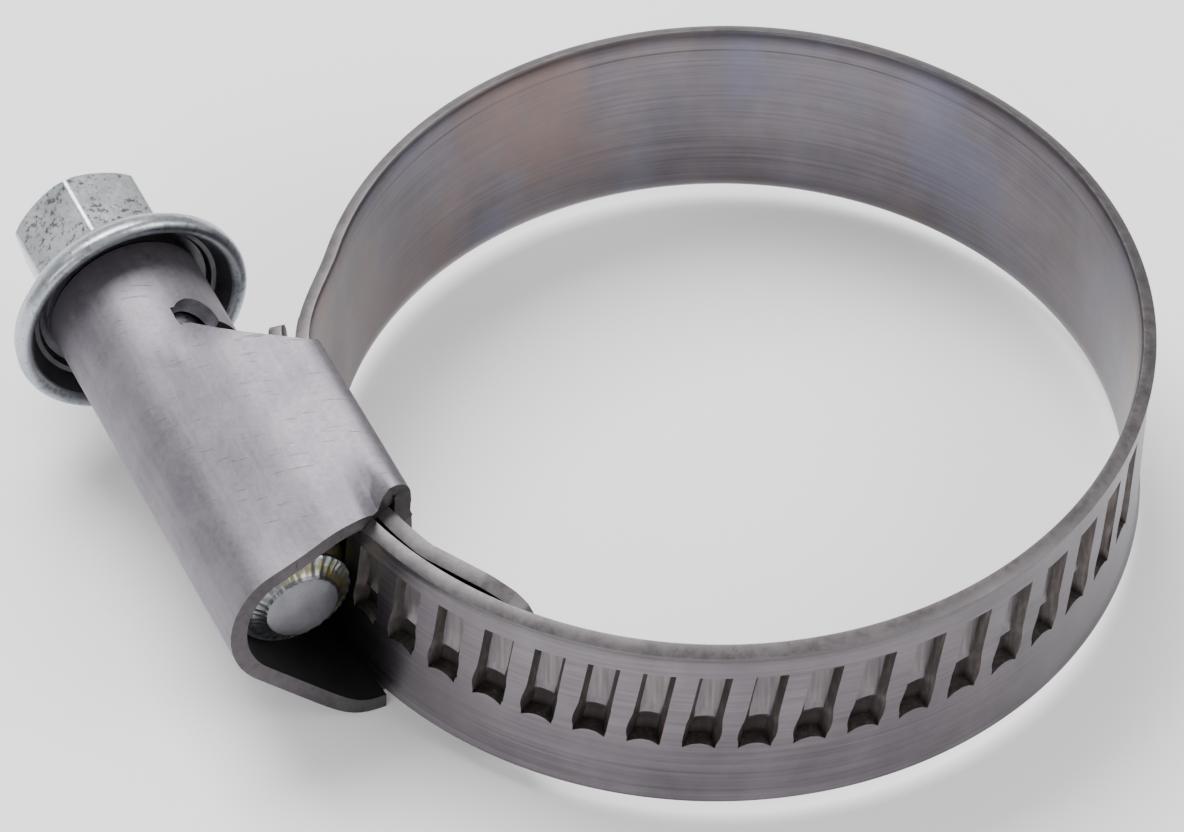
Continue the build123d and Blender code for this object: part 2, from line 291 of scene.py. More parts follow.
def band_steel(name, colours, tinted=False):
    """Cold-rolled strip: fine streaks along the loop, cloudy patches and, inside, heat tint."""
    finish = Finish(name)
    streaks = finish.streaks((90, 90, 5200), 4.0)
    clouds = finish.streaks((190, 190, 150), 4.0)
    grain = finish.noise(5200, 2.0, 0.5)
    amount = finish.ramp(finish.plus(streaks, clouds), 0.72, 1.3)
    tone = finish.mix(amount, colours.band_streak_shade, colours.band)
    if tinted:
        # A dark line painted along the upper flare bend: painted shade of the bend.
        off = finish.math("ABSOLUTE", finish.math("SUBTRACT", finish.axis("Z"), BEND_SHADE_HEIGHT))
        line = finish.times(finish.ramp(off, 0.09 * MM, 0.04 * MM), 0.7)
        tone = finish.mix(line, tone, colours.painted_shade)
        patches = finish.streaks((150, 150, 75), 3.0, 0.55)
        warm = finish.times(finish.ramp(patches, 0.5, 0.68), 0.55)
        tone = finish.mix(warm, tone, colours.heat)
        cool = finish.times(finish.ramp(patches, 0.47, 0.33), 0.36)
        tone = finish.mix(cool, tone, colours.heat_cool)
    rough = finish.plus(finish.times(streaks, 0.22), 0.24)
    finish.set(Base_Color=tone, Metallic=1.0, Roughness=rough)
    relief = finish.plus(finish.times(streaks, 0.7), finish.times(grain, 0.5))
    finish.bump(relief, 0.25, 0.03 * MM)
    return finish.material


def rim_steel(colours):
    """Sheared rim of the strip, mottled and a little rough."""
    finish = Finish("sheared_rim")
    mottle = finish.noise(2600, 4.0, 0.7)
    amount = finish.ramp(finish.plus(mottle, finish.noise(500, 2.0, 0.5)), 0.75, 1.2)
    tone = finish.mix(amount, scaled(colours.rim, 0.66), colours.rim)
    finish.set(Base_Color=tone, Metallic=1.0, Roughness=finish.ramp(mottle, -0.6, 1.5))
    finish.bump(mottle, 0.35, 0.04 * MM)
    return finish.material


def wall_shade(colours):
    """Torn metal on the walls of the pressed slots, painted dark as shade of the recess."""
    finish = Finish("torn_slot_wall")
    tears = finish.streaks((4200, 4200, 500))
    tone = finish.mix(finish.ramp(tears, 0.45, 0.75), colours.painted_shade, scaled(colours.painted_shade, 1.9))
    finish.set(Base_Color=tone, Metallic=0.9, Roughness=0.45)
    finish.bump(tears, 0.25, 0.03 * MM)
    return finish.material


def pressed_floor(name, base, dark, low, shade_fade):
    """Floor of the pressed slots: drawn upright streaks, painted shade at its lower end."""
    finish = Finish(name)
    height = finish.axis("Z")
    streaks = finish.streaks((5200, 5200, 260), 3.0, 0.5)
    tone = finish.mix(finish.ramp(streaks, 0.3, 0.75), dark, base)
    # Painted shade: the tone darkens towards the slot's lower end.
    tone = finish.mix(finish.ramp(height, low + shade_fade, low + 0.4 * MM), tone, dark)
    finish.set(Base_Color=tone, Metallic=1.0, Roughness=0.42)
    finish.bump(streaks, 0.2, 0.03 * MM)
    return finish.material


def housing_steel(name, base, dark):
    """Satin sheet with a fine orange-peel skin, purple clouds, rolling lines and scratches."""
    finish = Finish(name)
    peel = finish.noise(3200)
    clouds = finish.noise(260, 6.0, 0.68)
    lines = finish.streaks((2600, 160, 2600))
    tone = finish.mix(finish.ramp(clouds, 0.41, 0.6), dark, base)
    light = finish.times(finish.ramp(finish.plus(peel, lines), 0.7, 1.35), 0.5)
    tone = finish.mix(light, tone, scaled(base, 1.3))
    tilt = finish.add("ShaderNodeMapping", {"Vector": finish.place, "Rotation": (0, 0, 0.45)})
    hair = finish.streaks((420, 6500, 900), 2.0, 0.5, tilt.outputs["Vector"])
    scratch = finish.ramp(hair, 0.67, 0.73)
    tone = finish.mix(finish.times(scratch, 0.6), tone, dark)
    rough = finish.plus(finish.times(peel, 0.2), 0.48)
    finish.set(Base_Color=tone, Metallic=1.0, Roughness=rough)
    relief = finish.math("SUBTRACT", finish.times(peel, 0.8), finish.times(scratch, 0.9))
    finish.bump(relief, 0.35, 0.045 * MM)
    return finish.material


def worn_edge(colours):
    """Bright burnished line along the sheet's cut edges."""
    finish = Finish("worn_sheet_edge")
    wear = finish.ramp(finish.noise(1300, 4.0, 0.65), 0.38, 0.6)
    tone = finish.mix(wear, colours.housing_dark, colours.edge)
    finish.set(Base_Color=tone, Metallic=1.0, Roughness=0.36)
    return finish.material


def dark_inside(colours):
    """Inside of the folded sheet, painted near-black as shade."""
    finish = Finish("dark_inside")
    tone = finish.mix(finish.noise(400), scaled(colours.inside, 0.5), colours.inside)
    finish.set(Base_Color=tone, Metallic=0.6, Roughness=0.7)
    return finish.material


def zinc_plate(name, colours, base, specks=0.0):
    """Dull bluish zinc with small dark pits, as on a tumbled screw."""
    finish = Finish(name)
    clouds = finish.noise(420, 4.0)
    skin = finish.noise(3000, 3.0, 0.65)
    pits = finish.noise(2700, 4.0, 0.7)
    tone = finish.mix(finish.ramp(clouds, 0.35, 0.62), scaled(base, 0.7), base)
    if specks:
        spots = finish.plus(pits, finish.times(finish.noise(330, 2.0, 0.5), 0.35))
        dark = finish.times(finish.ramp(spots, 0.73, 0.82), specks)
        tone = finish.mix(dark, tone, colours.zinc_dark)
    rough = finish.plus(finish.times(skin, 0.3), 0.2)
    finish.set(Base_Color=tone, Metallic=1.0, Roughness=rough)
    finish.bump(finish.plus(skin, finish.times(pits, -0.8)), 0.3, 0.05 * MM)
    return finish.material


def passivated_thread(colours):
    """Yellowish film on one side of the worm, grey where it is worn."""
    finish = Finish("passivated_thread")
    patches = finish.ramp(finish.noise(900), 0.36, 0.56)
    side = finish.ramp(finish.axis("X"), SCREW_X + 1.6 * MM, SCREW_X - 1.2 * MM)
    grey = scaled(colours.zinc, 0.35)
    tone = finish.mix(finish.times(patches, side), grey, colours.passivated)
    finish.set(Base_Color=tone, Metallic=1.0, Roughness=0.34)
    return finish.material


# ---- mesh helpers


def finish_mesh(bm, name, materials, sharp=34.0):
    """Turn a bmesh into a piece: smooth faces, with the hard edges kept sharp."""
    bmesh.ops.recalc_face_normals(bm, faces=bm.faces)
    limit = math.radians(sharp)
    for face in bm.faces:
        face.smooth = True
    for edge in bm.edges:
        edge.smooth = len(edge.link_faces) == 2 and edge.calc_face_angle(math.pi) < limit
    mesh = bpy.data.meshes.new(name)
    bm.to_mesh(mesh)
    bm.free()
    for material in materials:
        mesh.materials.append(material)
    piece = bpy.data.objects.new(name, mesh)
    bpy.context.scene.collection.objects.link(piece)
    return piece


def cut(bm, point, normal, parts=None, **clear):
    """Cut a bmesh, or only the given parts of it, along a plane."""
    parts = parts or bm.verts[:] + bm.edges[:] + bm.faces[:]
    return bmesh.ops.bisect_plane(
        bm, geom=parts, dist=1e-8, plane_co=point, plane_no=normal, **clear
    )


def modify(piece, kind, **settings):
    """Give a piece a modifier and bake it into the mesh."""
    modifier = piece.modifiers.new(kind.lower(), kind)
    for key, value in settings.items():
        setattr(modifier, key, value)
    graph = bpy.context.evaluated_depsgraph_get()
    mesh = bpy.data.meshes.new_from_object(piece.evaluated_get(graph))
    piece.modifiers.clear()
    old, piece.data = piece.data, mesh
    bpy.data.meshes.remove(old)


def combine(piece, tool, operation):
    """Boolean of a piece with a tool, which is then thrown away."""
    modify(piece, "BOOLEAN", operation=operation, object=tool, solver="EXACT")
    bpy.data.objects.remove(tool)


def bevel(bm, edges, size, segments, material=-1, clamp=True):
    """Round edges to a circle."""
    bmesh.ops.bevel(
        bm, geom=edges, offset=size, affect="EDGES", segments=segments, profile=0.5,
        material=material, clamp_overlap=clamp,
    )


def reopen(piece):
    """Take the mesh of a piece back into a bmesh and drop the piece."""
    bm = bmesh.new()
    bm.from_mesh(piece.data)
    bpy.data.objects.remove(piece)
    return bm


def on_screw():
    """Transform from a shape about Z, head upward, to the screw's place along -Y."""
    return Matrix.Translation((SCREW_X, 0, SCREW_Z)) @ Matrix.Rotation(math.pi / 2, 4, "X")


def turned(outline, steps):
    """Closed lathe shape about Z from an outline of (radius, height) points in metres."""
    bm = bmesh.new()
    verts = [bm.verts.new((radius, 0, height)) for radius, height in outline]
    edges = [bm.edges.new(pair) for pair in zip(verts, verts[1:])]
    bmesh.ops.spin(
        bm, geom=verts + edges, cent=(0, 0, 0), axis=(0, 0, 1), angle=2 * math.pi,
        steps=steps, use_merge=True,
    )
    bmesh.ops.remove_doubles(bm, verts=bm.verts, dist=1e-7)
    bmesh.ops.recalc_face_normals(bm, faces=bm.faces)
    return bm


def rounded(corner, before, after, radius, steps=4):
    """Points of an arc that rounds a corner of an outline."""
    corner, before, after = Vector(corner), Vector(before), Vector(after)
    into, out = (before - corner).normalized(), (after - corner).normalized()
    half = into.angle(out) / 2
    reach = radius / math.tan(half)
    centre = corner + (into + out).normalized() * (radius / math.sin(half))
    start, end = corner + into * reach - centre, corner + out * reach - centre
    swing = start.angle_signed(end)
    return [centre + Matrix.Rotation(-swing * i / steps, 2) @ start for i in range(steps + 1)]


# ---- band

INNER, OUTER, RIM, WALL_SHADE, FLOOR, POCKET_SHADE = range(6)
FLAT_R = ARC_INNER_R + 0.65 * MM  # radius at which the flat strip keeps its length
SADDLE = (322.0, 340.0, 378.5, 381.5)  # where the fixed end steps up, and turns into the tongue
FLARE_ROWS = 4  # rows across each turned edge
FIXED_CUT, SPIRAL_CUT = 335.0, 140.0  # cuts between stretches of the loop, in degrees
PLAIN_FROM, SLOTS_BELOW = 155, 145  # where the loop has no slots, and where it has them
LEAN_ENDS, TAIL_FADE = 141.0, 4  # where the lean starts to fade, and its fade at the tail

# Pressed slots. Rows are in millimetres over a slot's lower end, columns from wall to wall.
SLOT_ROWS = (0, 0.35, 0.75, 1.1, 1.4, 1.7, 2.0, 2.3, 3.6, 5.0, 5.5)
SLOT_COLUMNS = (-1, -0.55, 0, 0.55, 1)
INSIDE_BULGE = 0.06 * MM
KNEE_LIFT, KNEE_ARCH = 0.2 * MM, 0.5 * MM
# Sink of the pocket's floor, and the height up to which its faces take painted shade.
POCKET_SINK, POCKET_SHADE_HEIGHT = 0.16 * MM, 1.4 * MM
RIM_BELLY, FLOOR_BELLY = 0.16 * MM, -0.06 * MM
RIM_ARCH, FLOOR_ARCH = 0.36 * MM, 0.2 * MM

# Ends of the strip. Each clip of the tongue has its run, rise (in millimetres) and lean.
TAIL_CHAMFER = 0.35 * MM
TONGUE_CLIPS = ((0.3, 2.4, 72), (0.75, 1.35, 56), (1.5, 0.65, 38), (2.6, 0.2, 20))


def spoke(angle):
    turn = math.radians(angle)
    return Vector((math.cos(turn), math.sin(turn)))


def tongue_reach(band, angle):
    """Distance from the hose axis to the straight tongue's inner face."""
    bend = (SEAT_R + band.tongue_bend_rise) * spoke(band.tongue_bend)
    tip = (SEAT_R + band.tongue_tip_rise) * spoke(band.tongue_angle)
    normal = (tip - bend).orthogonal()
    return bend.dot(normal) / spoke(angle).dot(normal)


def inner_point(band, angle):
    """Point of the strip's inner face. Past the spiral the angle is about the hose axis."""
    if angle <= SPIRAL_START:
        return ARC_CENTRE + ARC_INNER_R * spoke(angle)
    away = SEAT_R + band.saddle_rise * smoothstep(SADDLE[0], SADDLE[1], angle)
    if angle > SADDLE[2]:
        share = smoothstep(SADDLE[2], SADDLE[3], angle)
        away += share * (tongue_reach(band, angle) - away)
    return away * spoke(angle)


def rolled(band, angle, lift, height):
    """Point at a height above the strip's inner face, once the strip is rolled."""
    along = (inner_point(band, angle + 0.05) - inner_point(band, angle - 0.05)).normalized()
    foot = inner_point(band, angle) + lift * Vector((along.y, -along.x))
    return Vector((foot.x, foot.y, height))


def flare(band, lift, height):
    """Turn the edges of the flat strip outward."""
    turn = math.radians(band.flare_angle)
    bend = band.flare_height / math.sin(turn)
    middle = BAND_W / 2
    flat_half = middle - band.flare_height
    over = abs(height - middle) - flat_half
    if over <= 0:
        return lift, height
    side = math.copysign(1, height - middle)
    angle = over / bend
    new_height = middle + side * (flat_half + (bend - lift) * math.sin(angle))
    return bend - (bend - lift) * math.cos(angle), new_height


def flat_strip(band, start, end, step):
    """Straight bar of the strip's section, cut into columns along it and rows across it."""
    turn = math.radians(band.flare_angle)
    edge = band.flare_height / math.sin(turn) * turn
    half = BAND_W / 2 - band.flare_height + edge
    first, last = math.radians(start) * FLAT_R, math.radians(end) * FLAT_R
    middle = ((first + last) / 2, band.thickness / 2, BAND_W / 2)
    bm = bmesh.new()
    bmesh.ops.create_cube(bm, size=1)
    bmesh.ops.scale(bm, vec=(last - first, band.thickness, 2 * half), verts=bm.verts)
    bmesh.ops.translate(bm, vec=middle, verts=bm.verts)
    columns = max(2, round((end - start) / step))
    for index in range(1, columns):
        cut(bm, (first + (last - first) * index / columns, 0, 0), (1, 0, 0))
    for side in (-1, 1):
        for index in range(FLARE_ROWS + 1):
            cut(bm, (0, 0, BAND_W / 2 + side * (half - edge * index / FLARE_ROWS)), (0, 0, 1))
    return bm


def press_slots(bm, band, slots):
    """Press the leaning slots of the thread into the outer face, still flat and upright."""
    low, high = SCREW_Z - band.slot_height / 2, SCREW_Z + band.slot_height / 2
    half = band.slot_width / 2
    for rise in SLOT_ROWS:
        cut(bm, (0, 0, low + rise * MM), (0, 0, 1))
    for slot in slots:
        for side in SLOT_COLUMNS:
            cut(bm, (slot * band.pitch + side * half, 0, 0), (1, 0, 0))

    def across(point):
        """Place across the nearest slot, from -1 at one side of it to 1 at the other."""
        return (point.x - round(point.x / band.pitch) * band.pitch) / half

    sunk, inside = [], set()
    bm.normal_update()
    for face in bm.faces:
        centre = face.calc_center_median()
        if round(centre.x / band.pitch) not in slots or abs(across(centre)) > 1:
            continue
        if low < centre.z < high and abs(face.normal.y) > 0.5:
            if face.normal.y > 0:
                sunk.append(face)
            else:
                inside.update(face.verts)
    bulged = [v for v in inside if abs(across(v.co)) < 0.6 and low < v.co.z < high - 0.1 * MM]
    bmesh.ops.translate(bm, vec=(0, -INSIDE_BULGE, 0), verts=bulged)
    walls = bmesh.ops.inset_region(
        bm, faces=sunk, thickness=band.slot_draft, depth=-band.slot_depth,
        use_boundary=True, use_even_offset=True,
    )["faces"]
    floor = {v for face in sunk for v in face.verts}
    rims = {v for face in walls for v in face.verts} - floor
    for vert in floor:
        rise = (vert.co.z - low) / MM
        crown = 1 - across(vert.co) ** 2
        knee = smoothstep(1.2, 1.65, rise) * (1 - smoothstep(1.65, 2.4, rise))
        vert.co.y += KNEE_LIFT * knee * crown - POCKET_SINK * (1 - smoothstep(1.0, 1.65, rise))
    # Faces low in each slot take the pocket finish: a darker tone painted as shade of the recess.
    for face in sunk:
        pocket_shade = face.calc_center_median().z < low + POCKET_SHADE_HEIGHT
        face.material_index = POCKET_SHADE if pocket_shade else FLOOR
    for face in walls:
        face.material_index = WALL_SHADE
    for vert in floor | rims:
        rise, off = (vert.co.z - low) / MM, across(vert.co)
        belly = smoothstep(0.1, 0.9, rise) * (1 - smoothstep(1.1, 2.6, rise))
        if abs(off) > 0.7:
            widen = RIM_BELLY if vert in rims else FLOOR_BELLY
            vert.co.x += widen * math.copysign(1, off) * belly
        crown = 1 - min(off * off, 1.0)
        if rise < 0.5:
            vert.co.z += (RIM_ARCH if vert in rims else FLOOR_ARCH) * crown
        elif vert in floor:
            arch = smoothstep(0.7, 1.2, rise) * (1 - smoothstep(1.9, 3.3, rise))
            vert.co.z += KNEE_ARCH * crown * arch


def shear(bm, band):
    """Lean the flat strip with the worm, fading out at both ends of the threaded part."""
    slope = math.tan(math.radians(band.slot_lean))
    for vert in bm.verts:
        angle = math.degrees(vert.co.x / FLAT_R)
        amount = smoothstep(band.tail_angle, band.tail_angle + TAIL_FADE, angle)
        amount *= 1 - smoothstep(LEAN_ENDS, SPIRAL_START, angle)
        vert.co.x += amount * slope * (vert.co.z - SCREW_Z)


def roll(bm, band):
    """Flare the edges and roll the flat strip into its place in the loop."""
    for vert in bm.verts:
        lift, height = flare(band, vert.co.y, vert.co.z)
        vert.co = rolled(band, math.degrees(vert.co.x / FLAT_R), lift, height)


def round_rims(bm, band):
    """Round the four long edges of the flat strip."""
    edges = []
    for edge in bm.edges:
        along = abs(edge.verts[0].co.x - edge.verts[1].co.x) > 1e-7
        if along and len(edge.link_faces) == 2 and edge.calc_face_angle(0) > 1.2:
            if all(abs(v.co.z - BAND_W / 2) > BAND_W / 2 - 0.1 * MM for v in edge.verts):
                edges.append(edge)
    bevel(bm, edges, band.rim_round, 2)


def mark_faces(bm):
    """Give the inner face, the outer face and the rims of the flat strip their finishes."""
    bm.normal_update()
    low = min(v.co.z for v in bm.verts) + 0.12 * MM
    high = max(v.co.z for v in bm.verts) - 0.12 * MM
    for face in bm.faces:
        centre = face.calc_center_median()
        if face.material_index in (WALL_SHADE, FLOOR, POCKET_SHADE):
            continue
        if not low < centre.z < high or abs(face.normal.y) < 0.3:
            face.material_index = RIM
        else:
            face.material_index = INNER if face.normal.y < -0.3 else OUTER


def band_piece(name, band, materials, start, end, slots=(), step=1.25, shape=None):
    """One stretch of the rolled strip between two angles of the loop."""
    bm = flat_strip(band, start, end, step)
    slots = [slot for slot in slots if band.first_slot <= slot <= band.last_slot]
    if slots:
        press_slots(bm, band, slots)
    if shape:
        shape(bm)
    round_rims(bm, band)
    mark_faces(bm)
    shear(bm, band)
    roll(bm, band)
    return finish_mesh(bm, name, materials)


def clip_corners(bm, x, inset, lean):
    """Cut both corners off an end of the flat strip and close it again."""
    for z, up in ((inset, -1), (BAND_W - inset, 1)):
        normal = (lean[0], 0, up * lean[1])
        result = cut(bm, (x, 0, z), normal, clear_outer=True)
        edges = [item for item in result["geom_cut"] if isinstance(item, bmesh.types.BMEdge)]
        bmesh.ops.contextual_create(bm, geom=edges)


def hinge_angle(joint):
    """Angle of a flex joint along the loop."""
    x, y, _ = joint["pos_m"]
    if FLEX.index(joint) >= len(FLEX) - THREADED_JOINTS:
        return math.degrees(math.atan2(y - ARC_CENTRE.y, x - ARC_CENTRE.x))
    return math.degrees(math.atan2(y, x)) % 360


def loop_pieces(band, materials):
    """Stretches of the loop, one over each flex joint, with cuts between slots."""
    slot_step = math.degrees(band.pitch / FLAT_R)
    angles = [hinge_angle(joint) for joint in FLEX]
    cuts = [FIXED_CUT]
    for here, after in zip(angles, angles[1:]):
        if here > PLAIN_FROM:
            cuts.append((here + after) / 2)
        else:
            cuts.append(SPIRAL_CUT if here > SLOTS_BELOW else here - 2 * slot_step)
    cuts.append(angles[-1] - slot_step)
    middle = BAND_W / 2
    for number, (joint, angle) in enumerate(zip(FLEX, angles), start=1):
        high, low = cuts[number - 1], cuts[number]
        slots = ()
        if angle < SLOTS_BELOW:
            slots = range(math.ceil(low / slot_step), math.floor(high / slot_step) + 1)
        piece = band_piece(f"band_loop_{number:02d}", band, materials, low, high, slots)
        margin = 1.0 if angle > PLAIN_FROM else 3.0
        before, after = high - angle - margin, angle - low - margin
        longest = 2 * min(before, after)
        start = rolled(band, angle + min(before, longest), 0, middle)
        end = rolled(band, angle - min(after, longest), 0, middle)
        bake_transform(piece)
        if joint["child"] != "threaded_end":
            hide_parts(joint["child"])
    return cuts


class HOSECLAMP_OT_band(bpy.types.Operator):
    """Press, flare and roll the band: its loop, its threaded end and its fixed end"""

    bl_idname = "hoseclamp.band"
    bl_label = "Build band"

    def execute(self, context):
        band, colours = context.scene.hoseclamp_band, context.scene.hoseclamp_colours
        low = SCREW_Z - band.slot_height / 2
        outside = band_steel("rolled_outside", colours)
        inside = band_steel("rolled_inside", colours, tinted=True)
        # The floor and pocket finishes paint shade towards the slots' lower ends.
        floor = pressed_floor("pressed_floor", colours.slot_floor, colours.band_streak_shade, low, 3 * MM)
        pocket_shade = pressed_floor("pressed_pocket", colours.band_streak_shade, colours.painted_shade, low, 1.7 * MM)
        materials = [inside, outside, rim_steel(colours), wall_shade(colours), floor, pocket_shade]
        cuts = loop_pieces(band, materials)

        def tail_shape(bm):
            x = math.radians(band.tail_angle) * FLAT_R
            clip_corners(bm, x + TAIL_CHAMFER, 0, (-1, 1))

        slots = range(band.first_slot, 9)
        tail = band_piece(
            "threaded_end_strip", band, materials, band.tail_angle, cuts[-1], slots, 1.4, tail_shape
        )
        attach(tail, "threaded_end")
        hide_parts("threaded_band_end")
        tongue_end = band.tongue_angle + 360

        def tongue_shape(bm):
            x = math.radians(tongue_end) * FLAT_R
            for run, rise, lean in TONGUE_CLIPS:
                turn = math.radians(90 - lean)
                clip_corners(bm, x - run * MM, rise * MM, (math.cos(turn), math.sin(turn)))

        tongue = band_piece(
            "fixed_end_strip", band, materials, cuts[0], tongue_end, (), 1.0, tongue_shape
        )
        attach(tongue, "root")
        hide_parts("fixed_band_end")
        return {"FINISHED"}


# ---- housing

UPPER_EASE, LOWER_EASE = 3.0 * MM, 4.5 * MM  # run over which the neck opens into the flanks
SHOULDER_HALF = 2.2 * MM  # half width of the soft bend over the band's edge
ROOF_FROM = SCREW_Z + 2 * MM
ROOF_DIP, ROOF_PINCH = 0.4 * MM, 0.95 * MM
SEAM_Z, SEAM_HALF = 2.3 * MM, 0.06 * MM
REAR_TILT = 1.1  # tilt of the roof's bevelled rear edge
RELIEF_TURN = -25  # turn of the relief hole about the screw, in degrees


def tangent_angle(corner, radius, upper):
    """Angle about the screw where a line from a corner touches the round shell."""
    reach = Vector((corner[0] - SCREW_X, corner[1] - SCREW_Z))
    swing = math.acos(radius / reach.length)
    return math.atan2(reach.y, reach.x) + (-swing if upper else swing)


def fold_section(bm, housing):
    """Outer outline of the folded sheet, with the circle of the neck, where the two meet."""
    gap = 0.15 * MM
    high, low = BAND_W + gap + housing.sheet, -gap - housing.sheet
    y, reach = housing.rear_y, housing.shell_radius
    top, bottom = (housing.shoulder_x, high), (housing.shoulder_x + 0.1 * MM, low)
    upper, lower = (math.atan2(z - SCREW_Z, x - SCREW_X) for x, z in (top, bottom))
    bends = [(tangent_angle(top, reach, True), upper), (tangent_angle(bottom, reach, False), lower)]
    centre = (SCREW_X, y, SCREW_Z)
    start = bm.verts.new((SCREW_X + reach * math.cos(upper), y, SCREW_Z + reach * math.sin(upper)))
    spread = upper - lower
    shell = bmesh.ops.spin(
        bm, geom=[start], cent=centre, axis=(0, 1, 0), angle=spread, steps=72, use_merge=False
    )
    end = shell["geom_last"][0]
    curl = high + housing.curl_rise
    corners = []
    for step in range(1, 9):
        x = housing.shoulder_x - 0.38 * step * MM
        corners.append((x, high + housing.curl_rise * smoothstep(24.2 * MM, 21.6 * MM, x)))
    corners += [
        (housing.curl_x, curl),
        (housing.curl_x, BAND_W - 0.1 * MM),
        (SEAT_R, BAND_W - 0.7 * MM),
        (SEAT_R, low + 0.9 * MM),
        (SEAT_R + 0.6 * MM, low),
    ]
    corners += [(SEAT_R + (0.6 + 0.4 * step) * MM, low) for step in range(1, 8)]
    verts = [start] + [bm.verts.new((x, y, z)) for x, z in corners] + [end]
    body = [bm.edges.new(pair) for pair in zip(verts, verts[1:])]
    shared = [edge for edge in bm.edges if edge not in body]
    around = bmesh.ops.spin(
        bm, geom=[end], cent=centre, axis=(0, 1, 0), angle=2 * math.pi - spread,
        steps=48, use_merge=False,
    )
    bmesh.ops.weld_verts(bm, targetmap={around["geom_last"][0]: start})
    known = set(shared) | set(body)
    return shared, [edge for edge in bm.edges if edge not in known], body, bends


def spread_shell(bm, housing, bends):
    """Ease the round shell of the neck into the straight flanks of the folded body."""
    reach, rear = housing.shell_radius, housing.rear_y
    (upper_touch, upper), (lower_touch, lower) = bends
    lower_touch = (lower_touch + math.pi) % (2 * math.pi) - math.pi
    for vert in bm.verts:
        spoke_x, spoke_z = vert.co.x - SCREW_X, vert.co.z - SCREW_Z
        if vert.co.y < rear + 1e-6 or abs(math.hypot(spoke_x, spoke_z) - reach) > 1e-6:
            continue
        angle = math.atan2(spoke_z, spoke_x)
        past = angle - upper_touch if angle > 0 else lower_touch - angle
        if past <= 0:
            continue
        share = smoothstep(rear, rear + (UPPER_EASE if angle > 0 else LOWER_EASE), vert.co.y)
        factor = 1 + share * (1 / math.cos(past) - 1)
        vert.co.x, vert.co.z = SCREW_X + spoke_x * factor, SCREW_Z + spoke_z * factor


def press_front(bm, housing):
    """Dip the roof towards the front, pinch it beside the curl and draw the curl's front back."""
    curl_back = housing.front_y - 0.45 * MM - housing.curl_front
    for vert in bm.verts:
        if vert.co.z < ROOF_FROM or vert.co.y < 0:
            continue
        x = vert.co.x / MM
        dip = ROOF_DIP * smoothstep(22.0, 23.0, x) * (1 - smoothstep(26.0, 30.0, x))
        pinch = ROOF_PINCH * math.exp(-(((x - 22.45) / 0.5) ** 2))
        near = smoothstep(0.5 * MM, 6.0 * MM, vert.co.y)
        vert.co.z -= dip * near + pinch * near**2
        vert.co.y -= (1 - smoothstep(21.9, 23.3, x)) * curl_back * near


def pull(bm, edges, steps, distance):
    """Extrude open edges along Y in equal steps."""
    for _ in range(steps):
        made = bmesh.ops.extrude_edge_only(bm, edges=edges)["geom"]
        verts = [item for item in made if isinstance(item, bmesh.types.BMVert)]
        bmesh.ops.translate(bm, vec=(0, distance / steps, 0), verts=verts)
        edges = [item for item in made if isinstance(item, bmesh.types.BMEdge)]
        edges = [edge for edge in edges if all(vert in verts for vert in edge.verts)]


def round_bends(bm):
    """Bend the sheet round at its long corners, tighter at the band's edges."""
    tight, wide = [], []
    for edge in bm.edges:
        along = abs(edge.verts[0].co.y - edge.verts[1].co.y) > 1e-7
        place = edge.verts[0].co
        if not along or len(edge.link_faces) != 2 or edge.calc_face_angle(0) < 0.28:
            continue
        if place.x > SEAT_R + 0.8 * MM:
            continue
        (wide if place.z > BAND_W else tight).append(edge)
    for edges, size in ((wide, 0.85 * MM), (tight, 0.3 * MM)):
        bevel(bm, [edge for edge in edges if edge.is_valid], size, 6)


def curve_saddle(bm, housing):
    """Curve the base plate and the curls beside it round the hose."""
    for vert in [v for v in bm.verts if v.co.y > housing.rear_y + 0.01 * MM]:
        drop = SEAT_R - math.sqrt(SEAT_R**2 - vert.co.y**2)
        share = 1 - smoothstep(SEAT_R + 0.2 * MM, SEAT_R + 3.0 * MM, vert.co.x)
        share *= 1 - smoothstep(BAND_W - 1.2 * MM, BAND_W, vert.co.z)
        vert.co.x -= share * drop


def open_seam(bm):
    """Part the sheet along its seam on the base plate."""
    for z in (SEAM_Z - SEAM_HALF, SEAM_Z + SEAM_HALF):
        cut(bm, (0, 0, z), (0, 0, 1))

    def in_seam(at):
        return abs(at.z - SEAM_Z) < SEAM_HALF and at.x < SEAT_R + 0.2 * MM

    seam = [face for face in bm.faces if in_seam(face.calc_center_median())]
    bmesh.ops.delete(bm, geom=seam, context="FACES")


def folded_skin(housing):
    """Outer skin of the folded sheet: its section pulled out along Y, eased, bent and pressed."""
    bm = bmesh.new()
    rear = housing.rear_y
    shared, neck, body, bends = fold_section(bm, housing)
    pull(bm, shared + neck, 6, HOUSING_LOW.y - rear)
    pull(bm, shared + body, 40, HOUSING_HIGH.y + 1 * MM - rear)
    bmesh.ops.recalc_face_normals(bm, faces=bm.faces)
    spread_shell(bm, housing, bends)
    shoulder = [v for v in bm.verts if abs(v.co.x - housing.shoulder_x) < SHOULDER_HALF]
    shoulder = [v for v in shoulder if v.co.y > rear + 1e-6]
    for _ in range(16):
        bmesh.ops.smooth_vert(bm, verts=shoulder, factor=0.5, use_axis_x=True, use_axis_z=True)
    round_bends(bm)
    lean = math.radians(housing.front_lean)
    normal = (0, math.cos(lean), math.sin(lean))
    cut(bm, (0, housing.front_y, SCREW_Z), normal, clear_outer=True)
    press_front(bm, housing)
    curve_saddle(bm, housing)
    return bm


def trim(bm, place, normal, chosen):
    """Cut away what lies behind a plane, among the chosen faces only."""
    faces = [face for face in bm.faces if chosen(face.calc_center_median())]
    around = {v for f in faces for v in f.verts} | {e for f in faces for e in f.edges}
    cut(bm, place, normal, list(around | set(faces)), clear_outer=True)


